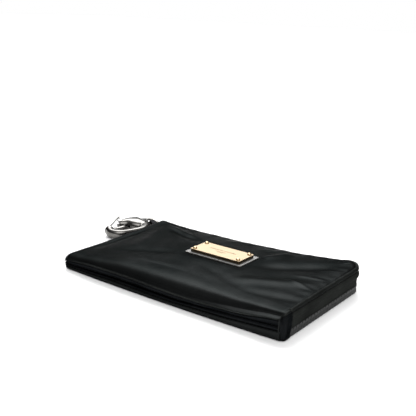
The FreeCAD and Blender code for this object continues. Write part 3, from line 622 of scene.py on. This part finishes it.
def side_bellows():
    """Left gusset, folded in between the two sheets' left edges."""
    sections = []
    for y in np.linspace(-43.5, 43.5, 90):
        top = float(panel_height(np.array([-76.0]), np.array([y]))[0])
        knots = [(-79.6, 3.2), (-79.2, 3.5), (-75.0, 4.3), (-73.6, 4.6), (-75.0, 4.9),
                 (-79.4, LEFT_SEAM + 0.5), (-79.9, LEFT_SEAM + 1.0)]
        t = np.linspace(0, len(knots) - 1, 24)
        xs = np.interp(t, np.arange(len(knots)), [k[0] for k in knots])
        zs = np.interp(t, np.arange(len(knots)), [k[1] for k in knots])
        sections.append(np.stack([xs + 0.1 * math.sin(y / 4), np.full(24, y), np.minimum(zs, top - 1)], 1))
    made = strip("left_bellows", sections, thickness=0.3)
    # The darker gusset cloth is painted shade on the left fold.
    made.data.materials.append(GUSSET_PAINTED_SHADE)
    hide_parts("left_gusset")
    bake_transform(made)
    return made


def piping():
    """Round welt along the zip side of the front panel, and its twin on the back panel."""
    line = zip_line(PIPE_INSET, -43.0, -79.2)
    z = edge_top(line[:, 0], line[:, 1]) - 1.3
    wave = 0.10 * np.sin(np.arange(len(line)) / 4.3) + 0.07 * np.sin(np.arange(len(line)) / 1.9)
    level = np.stack([line[:, 0] + wave * line[:, 2], line[:, 1] + wave * line[:, 3], z + wave * 0.5], 1)
    rolled = right_roll_line()
    points = np.concatenate([rolled[::2], level])
    radius = np.interp(np.arange(len(points)), [0, len(rolled) // 2, len(rolled) // 2 + 12], [0.35, 0.9, 1.3])
    front = dress(tube("front_piping", points, radius, 18), WELT, "front_half", "nylon_welt", "front_welt")
    line = zip_line(1.6, -46.6, -79.2)
    points = np.stack([line[:, 0], line[:, 1], np.full(len(line), 0.72)], 1)
    back = dress(tube("back_piping", points, 0.7, 12), WELT, "back_half", "nylon_welt", "back_welt")
    return front, back


def corner_wall():
    """Cloth closing the near right corner, with its stitched upright seam."""
    top = right_roll_line()
    turn = np.linspace(0, 1, len(top))
    angle = np.radians(-90 + 90 * np.clip(turn * 1.5, 0, 1))
    base_x = HALF_LENGTH - 1.9 + 1.8 * np.cos(angle)
    base_y = -46.9 + 1.8 * np.sin(angle) + 3.9 * np.clip(turn * 3 - 2, 0, 1)
    base = np.stack([base_x, base_y, np.full(len(top), 0.5)], 1)
    base[0, 0] = SEAM_X
    sections = []
    for t in np.linspace(0, 1, 16):
        bulge = 0.35 * math.sin(math.pi * t)
        row = base * (1 - t) + top * t
        row[:, 0] = np.maximum(row[:, 0], base[:, 0] * (1 - t ** 3) + top[:, 0] * t ** 3)
        row[:, 0] += bulge * np.cos(angle) * 0.6
        row[:, 1] += bulge * np.sin(angle) * 0.6
        sections.append(row)
    made = strip("corner_cloth", sections, thickness=0.4)
    # The darker gusset cloth is painted shade on the near right corner.
    made.data.materials.append(GUSSET_PAINTED_SHADE)
    heights = np.linspace(0.7, top[0][2], 14)
    seam_y = np.interp(heights, [0.7, 6, 12], [-48.9, -49.8, top[0][1]])
    points = np.stack([np.full(14, SEAM_X + 0.1), seam_y, heights], 1)
    seam = tube("corner_seam", points, 0.3, 10)
    seam.data.materials.append(WELT)
    for piece in (made, seam):
        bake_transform(piece)
    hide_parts("zip_end_tab")
    return made, seam


def zip_walls():
    """Front zip tape with its covering fold under the piping, and the narrow back tape."""
    line = zip_line(0.0, -43.5, -79.0)
    front, back = [], []
    for x, y, nx, ny in line:
        top = float(edge_top(x, y)) - 2.6
        drop = float(chain_drop(x))
        low = 6.6 - drop
        tall = top - low
        knots = [(-1.5, 1.0), (-0.3, 0.93), (0.45, 0.80), (0.5, 0.68), (-0.1, 0.58), (-0.55, 0.45),
                 (-0.65, 0.2), (-0.8, 0.06), (-1.0, -0.03)]
        t = np.linspace(0, len(knots) - 1, 26)
        off = np.interp(t, np.arange(len(knots)), [k[0] for k in knots])
        rise = np.interp(t, np.arange(len(knots)), [k[1] for k in knots])
        for _ in range(2):
            off[1:-1] = (off[:-2] + off[2:] + 2 * off[1:-1]) / 4
        squeeze = min(1.0, tall / 8) * float(ease(0.1 + (y + 43.5) / 9))
        off = -0.75 + (off + 0.75) * squeeze
        front.append(np.stack([x + nx * off, y + ny * off, low + rise * tall], 1))
        spots = [(-1.0, 3.3 - drop), (-1.0, 2.0 - drop * 0.8), (-1.1, 1.1 - drop * 0.3), (-2.4, 0.7)]
        back.append([(x + nx * o, y + ny * o, z) for o, z in spots])
    # The lighter tape cloth carries painted light on the right side wall.
    made = dress(strip("front_tape", front, thickness=0.5), TAPE_PAINTED_LIGHT, "front_half", "zip_tape", "zip_tape_front")
    other = dress(strip("back_tape", back, thickness=0.4), TAPE_PAINTED_LIGHT, "back_half", "zip_tape", "zip_tape_back")
    return made, other


def tooth_rows():
    """Moulded teeth with rounded edges, copied along the zip line, half a pitch apart on the two tapes."""
    level = 4.6
    line = zip_line(1.0, -45.4, -61.0, step=0.25)
    steps = np.hypot(*np.diff(line[:, :2], axis=0).T)
    distance = np.concatenate([[0], np.cumsum(steps)])
    work = bmesh.new()
    for size, centre in (((2.7, 1.9, 1.5), (0, -0.1, 1.45)), ((1.4, 1.7, 3.2), (0, -0.1, 0.2))):
        verts, faces = box_mesh(size, centre)
        made = [work.verts.new(v) for v in verts]
        for face in faces:
            work.faces.new([made[i] for i in face])
    bmesh.ops.recalc_face_normals(work, faces=work.faces)
    bmesh.ops.bevel(work, geom=list(work.edges), offset=0.28, segments=2, profile=0.6, affect="EDGES")
    shape = np.array([v.co for v in work.verts])
    work.verts.index_update()
    shape_faces = [tuple(v.index for v in f.verts) for f in work.faces]
    work.free()
    rows = []
    for name, up, shift, body, node in (("front_teeth", 1, 0.0, "front_half", "zip_teeth_front"),
                                        ("back_teeth", -1, 0.5, "back_half", "zip_teeth_back")):
        verts, faces = [], []
        for index in range(int(distance[-1] / TOOTH_PITCH)):
            at = (index + shift + 0.3) * TOOTH_PITCH
            x, y, nx, ny = (np.interp(at, distance, line[:, k]) for k in range(4))
            local = shape * (1, 1, up)
            across, out, rise = local.T
            height = level - float(chain_drop(x)) + rise
            turned = np.stack([x - ny * across + nx * out, y + nx * across + ny * out, height], 1)
            faces += [tuple(i + len(verts) for i in f) for f in shape_faces]
            verts += list(turned)
        made = fix_normals(make_object(name, verts, faces, smooth=False))
        rows.append(dress(made, TEETH, body, "zip_teeth", node))
    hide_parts("zip_bottom_stop")
    return rows


def linings():
    """Lining cloths seen when the mouth is open."""
    made = []
    for name, body, node, level in (("front_lining_cloth", "front_half", "front_lining", None),
                                    ("back_lining_cloth", "back_half", "back_lining", 1.35)):
        low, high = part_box(node)
        xs = np.linspace(low.x / MM, high.x / MM, 90)
        rows = []
        for t in np.linspace(0, 1, 50):
            y = np.full_like(xs, low.y / MM + (high.y - low.y) / MM * t)
            x, y = corner_plan(xs, y, HALF_LENGTH - CORNER, HALF_WIDTH - CORNER, CORNER, 1, 1)
            ripple = 0.2 * np.sin(x / 6 + y / 11) * np.sin(y / 8)
            if level is None:
                z = np.minimum(panel_height(x, y) - 2.3, 12.5) + ripple
            else:
                z = level + 0.2 + ripple
            rows.append(np.stack([x, y, z], 1))
        made.append(dress(strip(name, rows, thickness=0.3), LINING, body, "lining_cloth", node))
    return made


# ---------------------------------------------------------------- hardware

def copy_node(node, name):
    """Separate object with a CAD node's mesh, welded, for finer edges."""
    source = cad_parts[node]
    made = bpy.data.objects.new(name, source.data.copy())
    bpy.context.scene.collection.objects.link(made)
    work = bmesh.new()
    work.from_mesh(made.data)
    bmesh.ops.remove_doubles(work, verts=work.verts, dist=1e-6)
    bmesh.ops.dissolve_limit(work, angle_limit=math.radians(2), verts=work.verts, edges=work.edges)
    work.to_mesh(made.data)
    work.free()
    return made


def crisp(node, name, width, material, body, slot, segments=3, angle=35):
    """CAD node with small rounded edges."""
    made = copy_node(node, name)
    add_modifier(made, "BEVEL", width=width * MM, segments=segments, limit_method="ANGLE",
                 angle_limit=math.radians(angle), harden_normals=True)
    apply_modifiers(made)
    made.data.polygons.foreach_set("use_smooth", [True] * len(made.data.polygons))
    made.data.set_sharp_from_angle(angle=math.radians(15))
    return dress(made, material, body, slot, node)


def lathe(profile, centre, sides=24):
    """Turned form: (radius, z) pairs round an upright axis."""
    verts, faces = [], []
    for radius, z in profile:
        for k in range(sides):
            angle = 2 * math.pi * k / sides
            x, y = radius * math.cos(angle), radius * math.sin(angle)
            verts.append((centre[0] + x, centre[1] + y, centre[2] + z))
    faces += grid_faces(len(profile), sides, wrap=True)
    faces.append(tuple(range(sides))[::-1])
    faces.append(tuple(range((len(profile) - 1) * sides, len(profile) * sides)))
    return verts, faces


def gather(name, parts):
    """One mesh out of several (verts, faces) pairs."""
    verts, faces = [], []
    for some_verts, some_faces in parts:
        faces += [tuple(i + len(verts) for i in f) for f in some_faces]
        verts += list(some_verts)
    return fix_normals(make_object(name, verts, faces))


def domed(radius, rise, collar=0.25, steps=7):
    """Profile of a domed head standing on a short collar."""
    turn = np.linspace(0, math.pi / 2, steps)[:-1]
    dome = [(radius * math.cos(a), collar + (rise - collar) * math.sin(a)) for a in turn]
    return [(radius * 0.9, 0.0), (radius, 0.08)] + dome + [(0.05, rise)]


def nameplate_trim():
    """Four domed screws at the plate's corners, and three plain engraved rules."""
    low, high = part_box("nameplate_face")
    inset, top = 2.1, high.z / MM
    parts = []
    for x in (low.x / MM + inset, high.x / MM - inset):
        for y in (low.y / MM + inset, high.y / MM - inset):
            parts.append(lathe(domed(1.3, 1.25), (x, y, top - 0.05)))
    dress(gather("plate_screws", parts), SCREW, "front_half", "screw_brass", "nameplate_screws")
    rules = []
    for length, width, shift in ((19.0, 0.55, 1.1), (7.0, 0.4, -1.3), (4.0, 0.3, -2.7)):
        rules.append(box_mesh((length, width, 0.05), (PLATE_MID.x, PLATE_MID.y + shift, top + 0.01)))
    dress(gather("plate_engraving", rules), ENGRAVED, "front_half", "plate_gold")


# The hook lies in its own plan: first along its length from the eye, second towards the pouch.
HOOK_TURN = math.radians(-106.57)
HOOK_AT = (-93.4, 53.0)
PIVOT = (23.0, -7.8)


def hook_place(points):
    """Hook plan (a, b, z) into the shared frame, in millimetres."""
    points = np.asarray(points, float)
    c, t = math.cos(HOOK_TURN), math.sin(HOOK_TURN)
    x = HOOK_AT[0] + c * points[:, 0] - t * points[:, 1]
    y = HOOK_AT[1] + t * points[:, 0] + c * points[:, 1]
    return np.stack([x, y, points[:, 2]], 1)


def bar(stations, power=2.4, sides=28, smooth=2, tilt=0.0):
    """Rounded bar through stations (a, b, z, half width, half thickness) of the hook's plan."""
    runs = chaikin(stations, smooth)
    ahead = np.gradient(runs[:, :2], axis=0)
    ahead /= np.linalg.norm(ahead, axis=1)[:, None]
    verts = []
    for (a, b, z, half_width, half_thick), (da, db) in zip(runs, ahead):
        for k in range(sides):
            angle = 2 * math.pi * k / sides
            c, t = math.cos(angle), math.sin(angle)
            w = half_width * math.copysign(abs(c) ** (2 / power), c)
            h = half_thick * math.copysign(abs(t) ** (2 / power), t)
            verts.append((a - db * w, b + da * w, z + h - tilt * da * w))
    faces = grid_faces(len(runs), sides, wrap=True)
    faces.append(tuple(range(sides))[::-1])
    faces.append(tuple(range((len(runs) - 1) * sides, len(runs) * sides)))
    return hook_place(verts), faces


def ball(centre, radii, rings=12, sides=24):
    """Ellipsoid in the hook's plan."""
    profile = []
    for k in range(rings + 1):
        angle = -math.pi / 2 + math.pi * k / rings
        profile.append((max(0.02, math.cos(angle)), math.sin(angle)))
    verts, faces = lathe(profile, (0, 0, 0), sides)
    verts = np.asarray(verts) * radii + centre
    return hook_place(verts), faces


def melt(made, voxel, rounds):
    """Fuse overlapping closed forms into one smooth casting."""
    add_modifier(made, "REMESH", mode="VOXEL", voxel_size=voxel * MM, adaptivity=0.0)
    add_modifier(made, "SMOOTH", factor=0.5, iterations=rounds)
    apply_modifiers(made)
    made.data.polygons.foreach_set("use_smooth", [True] * len(made.data.polygons))
    return made


def carve(made, cutter):
    """Take a closed form out of a piece."""
    modifier = add_modifier(made, "BOOLEAN", operation="DIFFERENCE", object=cutter, solver="EXACT")
    apply_modifiers(made)
    bpy.data.objects.remove(cutter)
    return made


def tab_loop():
    """Webbing tab: a flat loop that goes through the hook's eye and back to the pouch."""
    turn, start_x, start_y = math.radians(154.85), -80.9, 46.4
    route = [(0.6, 2.0), (4.0, 3.6), (7.5, 5.6), (11.0, 6.3), (13.2, 5.9), (13.6, 4.4), (13.2, 2.9),
             (11.5, 2.0), (7.0, 1.3), (0.6, 1.1)]
    sections = []
    for along, z in chaikin(route, 3):
        row = []
        for across in np.linspace(-1, 1, 9):
            half = 2.1 - 0.5 * float(ease((along - 7) / 6))
            sag = 0.12 * (1 - across ** 2)
            row.append((start_x + math.cos(turn) * along - math.sin(turn) * across * half,
                        start_y + math.sin(turn) * along + math.cos(turn) * across * half, z + sag))
        sections.append(row)
    return dress(strip("strap_cloth", sections, thickness=0.75), WEBBING, "tab", "webbing", "tab_strap")


def hook_casting():
    """Polished hook: tapering shoulder with its eye, a back behind the throat, claw, ball nose and cheeks."""
    shoulder = [(2.5, -0.6, 3.6, 4.4, 1.3), (5.5, -1.0, 4.0, 7.0, 2.6), (9.5, -1.4, 4.4, 9.6, 3.9),
                (13.0, -3.4, 4.5, 8.4, 4.1), (16.5, -5.8, 4.4, 6.2, 4.0), (20.0, -7.0, 4.0, 4.2, 3.7),
                (23.6, -7.9, 3.7, 3.1, 3.4)]
    back = [(9.0, 4.0, 3.7, 4.5, 3.3), (12.5, 9.5, 3.7, 3.6, 3.3), (17.5, 13.2, 3.7, 2.6, 3.3),
            (27.0, 13.9, 3.6, 2.2, 3.3), (34.5, 12.6, 3.6, 2.4, 3.3), (38.0, 8.0, 3.6, 2.6, 3.2),
            (38.2, 4.5, 3.7, 2.8, 3.3), (37.2, 1.8, 3.9, 2.9, 3.3)]
    eye = [(6.0, -0.9, 4.6, 5.6, 1.9), (3.6, -0.7, 4.6, 5.2, 1.1), (1.0, -0.8, 4.6, 5.3, 0.85),
           (-2.4, -1.0, 4.6, 5.0, 0.85), (-5.2, -1.2, 4.6, 3.0, 0.75)]
    nose = ball((37.0, 1.4, 4.0), (3.4, 3.4, 3.6))
    made = gather("hook_casting", [bar(shoulder), bar(back), bar(eye, 2.0, tilt=0.28), nose])
    melt(made, 0.3, 6)
    hole = [(-2.3, -1.1, 3.5, 0.1, 6), (-1.9, -1.1, 3.5, 2.0, 6), (0.4, -1.0, 3.5, 2.9, 6),
            (2.8, -0.9, 3.5, 2.2, 6), (3.4, -0.9, 3.5, 0.1, 6)]
    carve(made, gather("cutter", [bar(hole, 4.0)]))
    slot = hook_place([(a, b, z) for a in (16.4, 31.0) for b in (-14.0, 0.6) for z in (2.5, 5.2)])
    carve(made, gather("cutter", [(slot, box_mesh((1, 1, 1))[1])]))
    dress(made, GUNMETAL, "hook", "hook_metal", "hook_body")

    rivet = []
    top = hook_place([(PIVOT[0], PIVOT[1], 6.9)])[0]
    rivet.append(lathe(domed(2.1, 1.1, 0.3), top))
    shank = hook_place([(PIVOT[0], PIVOT[1], 0.2)])[0]
    rivet.append(lathe([(0.9, 0.0), (0.98, 0.1), (0.98, 6.7), (0.9, 6.8)], shank))
    dress(gather("gate_rivet", rivet), RIVET, "hook", "pin_steel", "gate_pin")


def gate_casting():
    """Gate lever closing the throat, with its thin thumb bow outside."""
    lever = [(23.2, -8.6, 3.85, 2.3, 0.9), (22.4, -5.4, 3.85, 2.2, 0.95), (22.8, -2.6, 3.85, 2.2, 0.95),
             (26.5, -1.3, 3.85, 1.9, 0.95), (30.0, -1.0, 3.85, 1.8, 0.9), (32.6, -0.9, 3.85, 1.5, 0.85)]
    bow = [(22.6, -9.0, 3.9, 0.9, 0.8), (19.0, -15.0, 5.2, 0.62, 0.62), (16.2, -19.4, 6.2, 0.6, 0.6),
           (20.6, -16.0, 6.0, 0.6, 0.6), (28.0, -9.4, 5.2, 0.6, 0.6), (33.6, -4.8, 4.5, 0.62, 0.62),
           (33.0, -1.4, 3.9, 0.8, 0.7)]
    made = gather("gate_casting", [bar(lever), bar(bow, 2.0)])
    melt(made, 0.16, 3)
    dress(made, GUNMETAL, "gate", "gate_metal", "hook_gate")


def hardware():
    crisp("nameplate_base", "plate_back", 0.2, SILVER, "front_half", "plate_silver")
    face = crisp("nameplate_face", "plate_front", 0.25, GOLD, "front_half", "plate_gold")
    # Faces of the gold face that do not look up take the darker gold: painted shade on its sides.
    face.data.materials.append(GOLD_SIDE_PAINTED_SHADE)
    for polygon in face.data.polygons:
        if polygon.normal.z < 0.5:
            polygon.material_index = 1
    crisp("nameplate_backer", "plate_backer", 0.15, SILVER, "front_half", "plate_silver")
    crisp("zip_slider", "slider_metal", 0.3, ENAMEL, "slider", "zip_metal")
    crisp("zip_puller", "puller_metal", 0.25, ENAMEL, "puller", "zip_metal")
    for node in ("top_stop_front", "top_stop_back"):
        body = "front_half" if node.endswith("front") else "back_half"
        crisp(node, node + "_round", 0.2, TEETH, body, "zip_teeth")
    crisp("tab_anchor", "anchor_cloth", 0.4, WEBBING, "back_half", "webbing")
    crisp("gate_spring", "spring_coil", 0.1, RIVET, "hook", "spring_steel")


front_sheet()
ridge_seam()
back_sheet()
bellows()
side_bellows()
piping()
corner_wall()
zip_walls()
tooth_rows()
linings()
hardware()
nameplate_trim()
tab_loop()
hook_casting()
gate_casting()


# ---------------------------------------------------------------- stage

def floor():
    mesh = bpy.data.meshes.new("floor")
    size = 6.0
    corners = [(-size, -size, 0), (size, -size, 0), (size, size, 0), (-size, size, 0)]
    mesh.from_pydata(corners, [], [(0, 1, 2, 3)])
    made = bpy.data.objects.new("floor", mesh)
    bpy.context.scene.collection.objects.link(made)
    made.location.z = -0.0001
    material, _, _, shader = new_material("floor_paper")
    shader.inputs["Base Color"].default_value = (0.93, 0.93, 0.93, 1)
    shader.inputs["Roughness"].default_value = 0.9
    shader.inputs["Specular IOR Level"].default_value = 0.1
    mesh.materials.append(material)


def camera():
    """Camera from the near right, a little above the pouch."""
    azimuth, dip, roll = math.radians(35.466), math.radians(15.704), math.radians(2.29)
    back = Vector((math.sin(azimuth) * math.cos(dip), -math.cos(azimuth) * math.cos(dip), math.sin(dip)))
    right = Vector((math.cos(azimuth), math.sin(azimuth), 0))
    up = back.cross(right)
    tilted_right = right * math.cos(roll) + up * math.sin(roll)
    tilted_up = up * math.cos(roll) - right * math.sin(roll)
    data = bpy.data.cameras.new("camera")
    data.sensor_width = 36
    data.lens = 61.77
    made = bpy.data.objects.new("camera", data)
    bpy.context.scene.collection.objects.link(made)
    turn = Matrix((tilted_right, tilted_up, back)).transposed()
    made.matrix_world = Matrix.Translation((0.2367, -0.3388, 0.1606)) @ turn.to_4x4()
    bpy.context.scene.camera = made


def lights():
    """Studio: a soft box behind the pouch's left, a fill near the camera, and white seen directly."""
    world = bpy.data.worlds.new("studio")
    world.use_nodes = True
    nodes, links = world.node_tree.nodes, world.node_tree.links
    direction = nodes.new("ShaderNodeTexCoord").outputs["Generated"]

    def glow(towards, outer, inner, strength):
        dot = nodes.new("ShaderNodeVectorMath")
        dot.operation = "DOT_PRODUCT"
        dot.inputs[1].default_value = Vector(towards).normalized()
        links.new(direction, dot.inputs[0])
        span = nodes.new("ShaderNodeMapRange")
        span.interpolation_type = "SMOOTHSTEP"
        span.inputs["From Min"].default_value = math.cos(math.radians(outer))
        span.inputs["From Max"].default_value = math.cos(math.radians(inner))
        span.inputs["To Max"].default_value = strength
        links.new(dot.outputs["Value"], span.inputs["Value"])
        return span.outputs["Result"]

    def add(first, second):
        made = nodes.new("ShaderNodeMath")
        links.new(first, made.inputs[0])
        if isinstance(second, float):
            made.inputs[1].default_value = second
        else:
            links.new(second, made.inputs[1])
        return made.outputs[0]

    total = glow((-0.45, 0.55, 0.75), 27, 8, 10.0)
    total = add(total, glow((0.42, -0.55, 0.72), 42, 10, 3.2))
    total = add(total, glow((0.45, 0.65, 0.6), 40, 5, 0.5))
    total = add(total, glow((0, 0, 1), 80, 10, 0.3))
    total = add(total, 0.06)
    room = nodes["Background"]
    links.new(total, room.inputs["Strength"])
    white = nodes.new("ShaderNodeBackground")
    white.inputs["Strength"].default_value = 1.0
    white.inputs["Color"].default_value = (1, 1, 1, 1)
    path = nodes.new("ShaderNodeLightPath")
    mix = nodes.new("ShaderNodeMixShader")
    links.new(path.outputs["Is Camera Ray"], mix.inputs["Fac"])
    links.new(room.outputs[0], mix.inputs[1])
    links.new(white.outputs[0], mix.inputs[2])
    links.new(mix.outputs[0], nodes["World Output"].inputs["Surface"])
    room.inputs["Color"].default_value = (1, 1, 1, 1)
    bpy.context.scene.world = world
    bpy.context.scene.view_settings.view_transform = "Standard"


floor()
camera()
lights()
